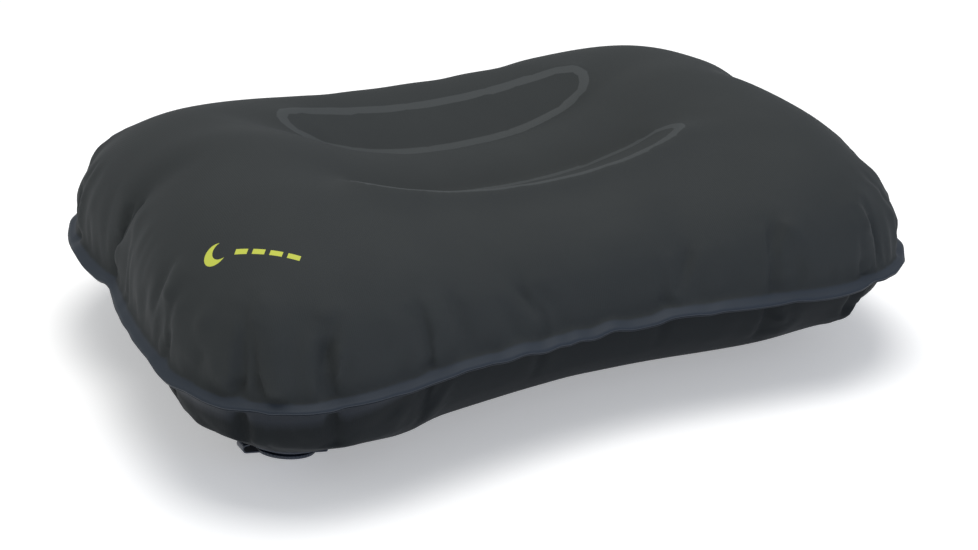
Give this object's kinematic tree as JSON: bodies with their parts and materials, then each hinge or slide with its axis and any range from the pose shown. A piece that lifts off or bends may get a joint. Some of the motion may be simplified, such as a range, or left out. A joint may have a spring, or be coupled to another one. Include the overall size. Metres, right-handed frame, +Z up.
{
  "type": "camp pillow",
  "caption": "Inflatable camp pillow with a dished top, pinched sides, inner ties and a flap air valve under one corner.",
  "frame": {"origin": "centre of the pillow's length and width, on the surface that it rests on", "axes": "+X along the pillow's length with the valve at the -X -Y corner, +Y to its back, +Z up"},
  "size_m": [0.408, 0.3098, 0.1267],
  "materials": {
    "pillow_fabric": "matte brushed stretch fabric with an airtight film inside",
    "tie_film": "satin film",
    "valve_plastic": "satin moulded flexible plastic",
    "valve_silicone": "satin translucent silicone"
  },
  "bodies": {
    "pillow_body": {"top_panel": "pillow_fabric", "bottom_panel": "pillow_fabric", "front_tie": "tie_film", "rear_tie": "tie_film", "valve_base": "valve_plastic", "outlet_strap": "valve_plastic"},
    "outlet_flap": {"outlet_cap": "valve_plastic", "inlet_strap": "valve_plastic"},
    "inlet_flap": {"inlet_cap": "valve_plastic"},
    "valve_disc": {"one_way_disc": "valve_silicone"}
  },
  "joints": [
    {"name": "outlet_cap_hinge", "type": "hinge", "parent": "pillow_body", "child": "outlet_flap", "pos_m": [-0.1687, -0.09792, 0.01417], "axis": [0, 0.9932, -0.1166], "range_deg": [0, 150], "deforming": ["outlet_strap"]},
    {"name": "inlet_cap_hinge", "type": "hinge", "parent": "outlet_flap", "child": "inlet_flap", "pos_m": [-0.13082, -0.09906, 0.00447], "axis": [0, -0.9932, 0.1166], "range_deg": [0, 150], "deforming": ["inlet_strap"]},
    {"name": "one_way_disc_slide", "type": "slide", "parent": "outlet_flap", "child": "valve_disc", "axis": [0.1733, 0.1148, 0.9781], "range_m": [0, 0.0015], "stiffness_N_per_m": 60}
  ]
}
